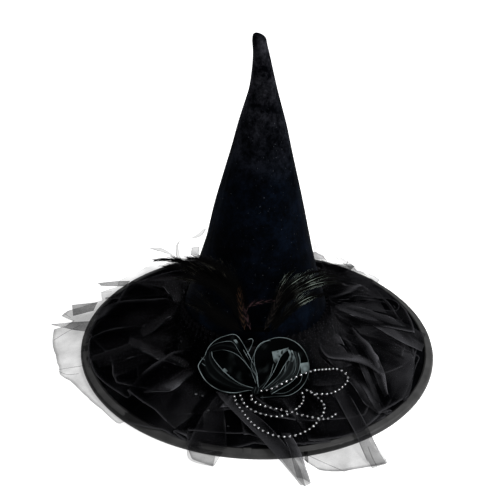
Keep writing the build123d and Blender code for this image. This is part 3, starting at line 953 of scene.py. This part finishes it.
def loose_ends(pile):
    """Corners and spikes of net that stand clear of the brim's edge, left, behind and in front."""
    fold(pile, [(-257, 56, -10), (-222, 62, -8)], [(-250, 29, -10), (-224, 40, -8)],
         0.50, swell=0.4, melt=0, seed=31)
    fold(pile, [(-229, 100, 0), (-205, 104, 1), (-183, 108, 0)],
         [(-223, 93, 0), (-205, 92, 0), (-187, 94, 0)], 0.60, swell=0.4, melt=0, line=0.9, seed=32)
    fold(pile, [(-276, 11, -12), (-248, 15, -11), (-222, 18, -10)],
         [(-275, 9, -12), (-248, 0, -12), (-226, -6, -11)], 0.42, swell=0.4, melt=0, line=0.9, seed=33)
    fold(pile, [(-116, 158, -6), (-126, 188, 4), (-124, 209, 11), (-104, 222, 12), (-86, 254, 12)],
         [(-110, 162, -6), (-121, 190, 4), (-120, 212, 11), (-92, 224, 12), (-84, 250, 12)],
         0.0, swell=0.3, melt=0, line=1.1, seed=34)
    fold(pile, [(-167, 186, 12), (-144, 184, 12), (-116, 154, 11)],
         [(-165, 184, 12), (-134, 168, 11), (-120, 150, 10)], 0.1, swell=0.3, melt=0, line=1.1, seed=35)
    fold(pile, [(-102, 190, 12), (-101, 167, 12)], [(-91, 194, 12), (-88, 158, 12)],
         0.25, swell=0.3, melt=0, line=0.8, seed=36)
    fold(pile, [(88, 244, 8), (92, 205, 7), (100, 175, 5)], [(84, 240, 8), (83, 205, 7), (79, 174, 5)],
         -0.15, swell=0.3, melt=0, hem=0.3, line=0.9, seed=37)
    fold(pile, [(118, 182, 8), (137, 160, 7), (157, 130, 5)], [(112, 178, 8), (126, 158, 7), (140, 140, 5)],
         -0.1, swell=0.3, melt=0, line=1.0, seed=38)
    for points, strength in (
        ([(-264, -26, -12), (-252, -10, -11), (-237, 8, -11)], 0.8),
        ([(-273, 50, -10), (-262, 34, -10), (-252, 24, -10)], 0.35),
        ([(-246, -88, -13), (-230, -84, -12), (-214, -79, -12)], 0.5),
        ([(-246, -90, -13), (-232, -97, -13), (-218, -96, -12)], 0.35),
        ([(-246, 130, 0), (-220, 136, 1), (-196, 152, 2)], 0.18),
        ([(-262, 66, -6), (-236, 80, -5), (-206, 84, -4)], 0.35),
        ([(57, -225, -16), (76, -236, -17), (98, -248, -18)], 0.45),
        ([(60, -238, -17), (72, -246, -18), (84, -247, -18)], 0.3),
        ([(126, -211, -15), (129, -226, -16), (133, -240, -17)], 0.5),
        ([(122, 173, 9), (132, 168, 9), (128, 156, 8)], 0.7),
    ):
        seam_line(pile, points, strength, 1.0)


def gather_creases(pile, count, seed):
    """Short sharp pleats that leave the gathered edge and fade out over the brim."""
    rng = random.Random(seed)
    for i in range(count):
        a = 2 * math.pi * (i + rng.uniform(-0.35, 0.35)) / count
        drift = rng.uniform(-0.16, 0.16)
        reach = rng.uniform(122, 168)
        middle = 0.5 * (104 + reach)
        line = [(97.8 * math.cos(a), 97.8 * math.sin(a), 32)]
        line.append((104 * math.cos(a + 0.3 * drift), 104 * math.sin(a + 0.3 * drift), rng.uniform(15, 21)))
        for r, turn in ((middle, 0.65 * drift), (reach, drift)):
            line.append((r * math.cos(a + turn), r * math.sin(a + turn)))
        seam_line(pile, line, rng.uniform(0.25, 0.85), rng.uniform(0.8, 1.6), 6.5)


def make_ruffle():
    plans = (
        ("tulle_under", UNDER, 21, 1.2 * MM, 4.5 * MM, 17 * MM, 1.0, "tulle_under_layer", loose_ends,
         ((98, 166, 0.8), (174, 234, 0.0), (248, 264, 0.0), (280, 306, -0.3))),
        ("tulle_middle", MIDDLE, 18, 2.0 * MM, 7 * MM, 20 * MM, 4.0, "tulle_middle_layer", left_folds, ()),
        ("tulle_top", TOP, 15, 2.8 * MM, 9 * MM, 22 * MM, 9.0, "tulle_top_layer", right_folds, ()),
    )
    for name, table, folds, lift, tall, sway, seed, node, extras, still in plans:
        pile = Pile()
        ruffle_layer(pile, table, folds, lift, tall, sway, seed, still)
        extras(pile)
        sheet = pile.build(name, M_TULLE)
        # Cut flat, a layer is a ring of net, and gathering takes up its extra fullness.
        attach(sheet, "hat")
        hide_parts(node)


def make_heading():
    """The gathered edge, bunched into tight pleats round the crown."""
    low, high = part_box("ruffle_heading")[0].z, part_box("ruffle_heading")[1].z
    cols, rows = 840, 9
    verts, shade = [], []
    for i in range(rows):
        t = i / (rows - 1)
        z = low - 2 * MM + (high - low + 3 * MM) * t
        r, lean = crown_at(z)
        for k in range(cols):
            a = 2 * math.pi * k / cols
            pleat = 0.5 + 0.5 * math.cos(70 * a + 3 * wobble(math.cos(a) * 4, math.sin(a) * 4, seed=12))
            waist = 1.0 - 0.65 * math.exp(-(((t - 0.5) / 0.16) ** 2))
            out = (1.0 + 2.6 * pleat * waist) * MM
            at_edge = 1 if i in (0, rows - 1) else 0
            ragged = 0.8 * MM * wobble(math.cos(a) * 30, math.sin(a) * 30, seed=14) * at_edge
            verts.append((lean + (r + out) * math.cos(a), (r + out) * math.sin(a), z + ragged))
            shade.append(0.2 + 0.5 * (1 - pleat))
    band = new_object("ruffle_gathers", verts, grid_faces(rows, cols, wrap=True), M_HEADING)
    set_shade(band, shade)
    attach(band, "hat")
    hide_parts("ruffle_heading")


make_ruffle()
make_heading()
for node in ("heading_stitches", "feather_binding"):
    finish_node(node, M_DARK_THREAD)
finish_node("sequins", M_SEQUIN)


# ---------------------------------------------------------------- flower

def plane_point(origin, normal, u, v, n):
    """A point u to the right, v up and n out from a plane that leans back, in mm."""
    out = Vector(normal).normalized()
    right = Vector((1, 0, 0))
    up = out.cross(right)
    return (Vector(origin) + right * u + up * v + out * n) * MM


def flower_point(u, v, n):
    return plane_point((0, -140, 4), (0, -0.69, 0.72), u, v, n)


def feather_point(u, v, n):
    return plane_point((0, -92, 56), (0, -0.963, 0.27), u, v, n)


def cup(pile, lobe, pinch, depth, tone, seed, rows=18, cols=90):
    """The hollow of a lobe, from its pinch at the knot out to its rim."""
    edge = smooth_route(lobe, cols)
    start = Vector(pinch)
    verts, shade = [], []
    for i in range(rows):
        t = i / (rows - 1)
        for k in range(cols):
            s = k / (cols - 1)
            flat = start.lerp(edge[k], t)
            bowl = depth * math.sin(math.pi * t) * math.sin(math.pi * s) ** 0.5
            rib = 0.8 * math.cos(2 * math.pi * 5 * s + seed) * (1 - t) * t * 3
            rib += 0.7 * wobble(s * 7, t * 3, seed=seed)
            verts.append(flower_point(flat.x, flat.y, flat.z - bowl + rib * math.sin(math.pi * t)))
            # Painted reflection: random bright spots on the satin inside the lobe.
            spot = max(0.0, wobble(flat.x * 0.11, flat.y * 0.11, seed=seed + 3) - 0.22)
            shade.append(tone * (0.2 + 6 * spot))
    pile.add(verts, grid_faces(rows, cols), shade)


def satin_band(pile, one, two, swell, tone, ribs=2, seed=0.0, rows=44, cols=17):
    """A width of ribbon between two edge lines, swelling towards the front, with ribs along it."""
    left, right = smooth_route(one, rows), smooth_route(two, rows)
    verts, shade = [], []
    for i in range(rows):
        t = i / (rows - 1)
        for k in range(cols):
            s = k / (cols - 1)
            at = left[i].lerp(right[i], s)
            wave = math.cos(2 * math.pi * ribs * s + 2 * wobble(t * 3, seed=seed) + seed)
            out = swell * math.sin(math.pi * s) + 0.5 * wave * math.sin(math.pi * s) * math.sin(math.pi * t)
            verts.append(flower_point(at.x, at.y, at.z + out))
            gleam = max(0.0, wave) ** 4 * (0.35 + 0.65 * abs(wobble(t * 5, s * 3, seed=seed + 1)) * 2)
            shade.append(tone * (0.15 + 0.85 * gleam))
    pile.add(verts, grid_faces(rows, cols), shade)


def hem(pile, points, radius=0.62, bright=0.8, seed=0.0):
    """A rolled edge: a fine tube that catches the light unevenly along its run."""
    count = max(20, 6 * len(points))
    line = [flower_point(*p) for p in smooth_route(points, count)]
    radii = [radius * MM * (0.40 + 0.40 * abs(wobble(i * 0.17, seed=seed))) for i in range(count)]
    radii[0] = radii[-1] = radii[0] * 0.4
    verts, faces = tube(line, radii, 8)
    glints = [0.82 + 1.5 * wobble((i // 8) * 0.13, seed=seed + 5) for i in range(len(verts))]
    pile.add(verts, faces, [bright * max(0.12, glint) for glint in glints])


def facet(pile, one, two, tone):
    """A small taut piece of satin between two edges; it faces the light and shades off along its length."""
    rows, cols = 12, 9
    left, right = even_points([Vector(p) for p in one], rows), even_points([Vector(p) for p in two], rows)
    verts, shade = [], []
    for i in range(rows):
        for k in range(cols):
            at = left[i].lerp(right[i], k / (cols - 1))
            ripple = wobble(at.x * 0.25, at.y * 0.25, seed=31)
            verts.append(flower_point(at.x, at.y, at.z + 0.5 * ripple))
            shade.append(tone * max(0.05, 1.15 - 0.75 * i / rows - 0.35 * k / cols + 0.6 * ripple))
    pile.add(verts, grid_faces(rows, cols), shade)


def rim(u, v, across, up, first, last, out=3, count=8):
    """A stretch of a lobe's edge: an elliptical arc about (u, v) between two angles, at one distance out."""
    turns = [math.radians(first + (last - first) * i / (count - 1)) for i in range(count)]
    return [(u + across * math.cos(a), v + up * math.sin(a), out) for a in turns]


LEFT_LOW = [(0, 0, 4)] + rim(-27, 34, 42, 38, 292, 190) + [(-61, 39, 3)]
LEFT_HIGH = rim(-26, 36, 35, 29, 175, 90, count=5) + [(-17, 55, 3), (-7, 37, 3), (0, 22, 3), (3, 2, 5)]
LEFT_SECOND = rim(-34, 38, 27, 18, 180, 80, out=5, count=5)
LEFT_SECOND += [(-22, 46, 5), (-11, 29, 5), (-1, 17, 6), (0, 8, 6)]
MOUTH_HIGH = [(-53, 43, 8), (-38, 45, 9), (-22, 39, 9), (-8, 24, 9), (0, 7, 7)]
MOUTH_LOW = [(-53, 43, 8), (-51, 35, 9), (-38, 20, 10), (-18, 6, 9), (-1, 1, 7)]
RIGHT_EDGE = [(4, 2, 5), (1, 15, 5)] + rim(28, 28, 34, 35, 180, -95, count=12) + [(5, -9, 3)]
RIGHT_SECOND = [(2, 8, 7), (-1, 22, 7)] + rim(16, 38, 19, 21, 180, 90, out=5, count=4)
SCARF_LEFT = [(18, 43, 10), (20, 30, 11), (15, 13, 11), (3, 1, 8)]
SCARF_RIGHT = [(37, 48, 10), (28, 38, 11), (20, 20, 12), (7, 0, 8)]
PLEATS = (
    [(37, 48, 11), (39, 40, 12), (32, 27, 12), (24, 14, 12), (9, 0, 8)],
    [(42, 46, 11), (46, 32, 12), (42, 17, 12), (16, 0, 8)],
    [(49, 44, 9), (51, 30, 10), (44, 12, 10), (18, -5, 6)],
)


def make_petal(name, node, build):
    pile = Pile()
    build(pile)
    piece = pile.build(name, M_PETAL)
    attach(piece, "hat")
    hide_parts(node)


def left_cup(pile):
    cup(pile, LEFT_LOW + LEFT_HIGH[1:], (1, 3, 4), 7, 0.02, 1.0)
    hem(pile, LEFT_LOW, 0.7, 0.85, 1)
    hem(pile, LEFT_HIGH, 0.6, 0.7, 2)
    for u, v in ((-66, 37), (-63, 36), (-65, 30), (-59, 41)):
        hem(pile, [(u, v, 5), (u + 5, v - 4, 6.5), (u + 10, v - 9, 8)], 0.45, 0.45, 3)


def left_mouth(pile):
    lip = [(-60, 40, 5), (-63, 30, 5), (-58, 16, 5), (-44, 6, 5), (-24, 0, 5), (-2, -1, 5)]
    satin_band(pile, MOUTH_LOW, lip, 2.0, 0.06, 2, 2.0)
    hem(pile, MOUTH_LOW, 0.7, 0.85, 4)
    hem(pile, [(-50, 33, 10), (-43, 25, 11), (-36, 18, 11), (-29, 12, 11), (-16, 4, 10)], 0.45, 0.6, 5)
    facet(pile, [(-40, 21, 10), (-36, 17, 10)], [(-37, 23.5, 10.6), (-33, 20, 10.6)], 0.5)


def left_fold(pile):
    satin_band(pile, LEFT_SECOND, MOUTH_HIGH, 0.8, 0.02, 1, 4.0)
    hem(pile, LEFT_SECOND, 0.5, 0.55, 6)
    hem(pile, MOUTH_HIGH, 0.5, 0.55, 7)
    hem(pile, [(-16, 47, 5), (-9, 35, 6), (-3, 24, 7), (1, 14, 7), (2, 6, 7)], 0.45, 0.7, 8)
    facet(pile, [(-28, 58, 5), (-24, 53, 5)], [(-25, 59, 5), (-22, 55, 5.5)], 0.7)


def right_cup(pile):
    cup(pile, RIGHT_EDGE, (6, 3, 4), 8, 0.02, 6.0)
    hem(pile, RIGHT_EDGE, 0.55, 0.5, 9)
    hem(pile, RIGHT_SECOND, 0.6, 0.65, 10)
    hem(pile, [(55, 22, 6), (52, 11, 6), (44, 3, 6), (34, -3, 6), (22, -4, 6)], 0.45, 0.4, 11)
    facet(pile, [(51, 32, 6), (52, 26, 7), (53, 20, 7)], [(61, 34, 5), (61.5, 27, 5), (60, 21, 5)], 0.65)


def right_scarf(pile):
    satin_band(pile, SCARF_LEFT, SCARF_RIGHT, 0.8, 0.06, 1, 7.0)
    facet(pile, [(18, 44, 10.6), (20, 33, 12)], [(36, 49, 10.6), (23, 30, 12.4)], 0.60)
    hem(pile, [(18, 44, 11), (27, 45, 11.4), (37, 49, 11)], 0.45, 0.7, 12)
    hem(pile, SCARF_LEFT[1:], 0.5, 0.5, 13)
    hem(pile, SCARF_RIGHT, 0.5, 0.75, 14)


def right_pleats(pile):
    satin_band(pile, PLEATS[0], PLEATS[1], 1.2, 0.16, 2, 8.0)
    satin_band(pile, PLEATS[1], PLEATS[2], 0.8, 0.10, 1, 9.5)
    for i, line in enumerate(PLEATS):
        hem(pile, line, 0.6, 0.75, 15 + i)
    hem(pile, [(35, 33, 13), (32, 18, 13), (22, 4, 10)], 0.45, 0.55, 19)
    facet(pile, [(36, 47, 12), (39, 40, 13), (36, 34, 13)], [(42, 46, 12), (45, 38, 13), (43, 32, 13)], 0.5)


def flower_curl(pile):
    hem(pile, [(-13, 38, 9), (-8, 47, 10), (-5, 55, 11), (-6, 59, 11), (-11, 58, 10)], 0.6, 0.5, 20)


def flower_knot(pile):
    rows, cols = 16, 40
    points, marks = [], []
    for i in range(rows):
        t = math.pi * i / (rows - 1)
        for k in range(cols):
            a = 2 * math.pi * k / cols
            pleat = math.cos(7 * a + 1.5 * math.sin(t * 2))
            reach = 4.8 * math.sin(t) * (1 + 0.12 * pleat)
            out = 5.5 + 0.8 * reach * math.sin(a)
            points.append(flower_point(reach * math.cos(a), -1.0 + 4.6 * math.cos(t), out))
            # Painted highlight on the crests of the knot's pleats.
            marks.append(0.01 + 0.10 * max(0.0, pleat) ** 3)
    pile.add(points, grid_faces(rows, cols, wrap=True), marks)


for name, node, build in (
    ("petal_left_cup", "petal_left_outer", left_cup),
    ("petal_left_mouth", "petal_left_middle", left_mouth),
    ("petal_left_fold", "petal_left_inner", left_fold),
    ("petal_right_cup", "petal_right_outer", right_cup),
    ("petal_right_scarf", "petal_right_middle", right_scarf),
    ("petal_right_pleats", "petal_right_inner", right_pleats),
    ("flower_curl_roll", "flower_curl", flower_curl),
    ("flower_knot_gathers", "flower_knot", flower_knot),
):
    make_petal(name, node, build)


# ---------------------------------------------------------------- feathers


def make_feather(name, node, body, path, width, layer, material, seed, barbs, along_shade=False,
                 quill=0.0):
    """A quill with two rows of curved barbs: close by the quill and loose at their ends."""
    rng = random.Random(seed)
    count = 48
    line = smooth_route([(u, w, layer) for u, w in path], count)
    back = rng.uniform(-9, 4)
    arch = [2.5 * math.sin(math.pi * i / count) + back * (i / count) ** 2 for i in range(count)]
    line = [p + Vector((0, 0, out)) for p, out in zip(line, arch)]
    length = (Vector(path[-1]) - Vector(path[0])).length
    pile = Pile()
    radii = [(0.55 - 0.45 * i / (count - 1)) * MM for i in range(count)]
    verts, faces = tube([feather_point(*p) for p in line], radii, 6)
    runs = [(i // 6) / (count - 1) for i in range(len(verts))]
    # Painted highlight along the outer part of the quill, as strong as quill sets.
    lit = [0.3 + quill * math.exp(-(((run - 0.70) / 0.17) ** 2)) for run in runs]
    pile.add(verts, faces, runs if along_shade else lit)
    gloss_at = rng.uniform(0.5, 0.75)
    for i in range(barbs):
        t = 0.05 + 0.93 * i / (barbs - 1)
        place = t * (count - 1)
        j = min(int(place), count - 2)
        at = line[j].lerp(line[j + 1], place - j)
        ahead = (line[j + 1] - line[j]).normalized()
        across = Vector((ahead.y, -ahead.x, 0)).normalized()
        body_width = width * (0.4 + 0.6 * math.sin(math.pi * min(1.0, t * 0.75 + 0.15)))
        shine = 0.35 + 0.9 * math.exp(-(((t - gloss_at) / 0.22) ** 2))
        for hand in (-1, 1):
            reach = body_width * rng.uniform(0.6, 1.1) * (1.0 if t < 0.85 else 0.8)
            angle = math.radians(42 - 22 * t + rng.uniform(-6, 6))
            droop = rng.uniform(-1.3, 1.3)
            cells = 6
            wide = rng.uniform(0.8, 1.15) * length / barbs * 1.1
            gleam = rng.uniform(0.4, 1.1)
            strip, marks = [], []
            for c in range(cells):
                f = c / (cells - 1)
                bend = angle * (1 - 0.5 * f)
                spot = at + (ahead * math.cos(bend) + across * hand * math.sin(bend)) * reach * f
                spot = spot + Vector((0, 0, droop * f * f + 0.35 * hand * f))
                half = ahead * (wide * (1 - f) ** 0.55 + 0.07)
                strip += [feather_point(*(spot - half)), feather_point(*(spot + half))]
                mark = t if along_shade else (0.1 + 0.85 * f * gleam) * shine
                marks += [mark, mark]
            pile.add(strip, grid_faces(cells, 2), marks)
    feather = pile.build(name, material)
    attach(feather, body)
    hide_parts(node)


LEFT_PLUME = [
    ([(-18, 3), (-23, 30), (-40, 56), (-70, 76), (-100, 83), (-125, 81)], 22),
    ([(-18, 4), (-26, 32), (-48, 58), (-76, 73), (-97, 77), (-112, 75)], 27),
    ([(-17, 5), (-20, 34), (-33, 60), (-51, 77), (-70, 85), (-85, 86)], 26),
    ([(-17, 6), (-18, 32), (-26, 56), (-38, 72), (-54, 83), (-66, 86)], 26),
    ([(-18, 8), (-24, 28), (-38, 48), (-58, 60), (-78, 66), (-90, 66)], 38),
    ([(-18, 1), (-31, 10), (-46, 20), (-60, 29), (-73, 34)], 42),
]
RIGHT_PLUME = [
    ([(18, 3), (23, 26), (38, 44), (62, 57), (84, 61), (99, 58)], 24),
    ([(18, 4), (23, 28), (38, 48), (58, 61), (76, 68), (92, 68)], 22),
    ([(17, 5), (20, 30), (31, 52), (46, 65), (60, 73), (72, 76)], 18),
    ([(17, 7), (19, 30), (24, 50), (32, 65), (41, 74)], 14),
    ([(18, 1), (28, 18), (44, 34), (60, 44), (78, 48)], 24),
]
CENTRE_FEATHERS = [
    ([(-15, 5), (-17, 20), (-20, 38), (-22, 54)], 15, M_BARRED),
    ([(-8, 6), (-14, 28), (-6, 37), (7, 40), (20, 41)], 11, M_ROSE),
    ([(8, 6), (16, 24), (22, 42), (27, 60)], 13, M_DIM),
]


def make_feathers():
    for i, (path, width) in enumerate(LEFT_PLUME):
        make_feather(f"plume_left_{i + 1}", f"feather_left_{i + 1}", "plume_left",
                     path, width, 1.6 * i, M_FEATHER, 100 + i, barbs=150)
    for i, (path, width) in enumerate(RIGHT_PLUME):
        make_feather(f"plume_right_{i + 1}", f"feather_right_{i + 1}", "plume_right",
                     path, width, 1.6 * i, M_OLIVE_SHEEN, 200 + i, barbs=100, quill=0.6)
    for i, (path, width, material) in enumerate(CENTRE_FEATHERS):
        make_feather(f"centre_feather_{i + 1}", f"feather_centre_{i + 1}", "hat",
                     path, width, 14.5 + 1.2 * i, material, 300 + i, barbs=150, along_shade=True)


make_feathers()


# ---------------------------------------------------------------- stage


def make_stage():
    n = Nodes("pale_floor")
    n.set(Base_Color=(0.93, 0.93, 0.93, 1), Roughness=0.9, Specular_IOR_Level=0.1)
    n.set(Emission_Color=(1, 1, 1, 1), Emission_Strength=0.75)
    reach = 40.0
    corners = [(x * reach, y * reach, FLOOR_Z) for x, y in ((-1, -1), (1, -1), (1, 1), (-1, 1))]
    floor = new_object("floor", corners, [(0, 1, 2, 3)], n.material, smooth=False)

    world = bpy.data.worlds.new("studio")
    bpy.context.scene.world = world
    world.use_nodes = True
    world.node_tree.nodes["Background"].inputs["Color"].default_value = (1, 1, 1, 1)
    world.node_tree.nodes["Background"].inputs["Strength"].default_value = 0.35

    def lamp(name, place, size, power):
        data = bpy.data.lights.new(name, "AREA")
        data.size = size
        data.energy = power
        light = bpy.data.objects.new(name, data)
        light.location = place
        light.rotation_euler = (Vector((0, 0, 0.1)) - Vector(place)).to_track_quat("-Z", "Y").to_euler()
        bpy.context.scene.collection.objects.link(light)

    lamp("key", (1.15, -0.35, 1.15), 0.5, 25)
    lamp("fill", (-1.4, -1.1, 1.3), 1.2, 3)
    lamp("back", (0.5, 1.5, 1.6), 1.0, 8)


make_stage()
bpy.context.scene.view_settings.view_transform = "Standard"
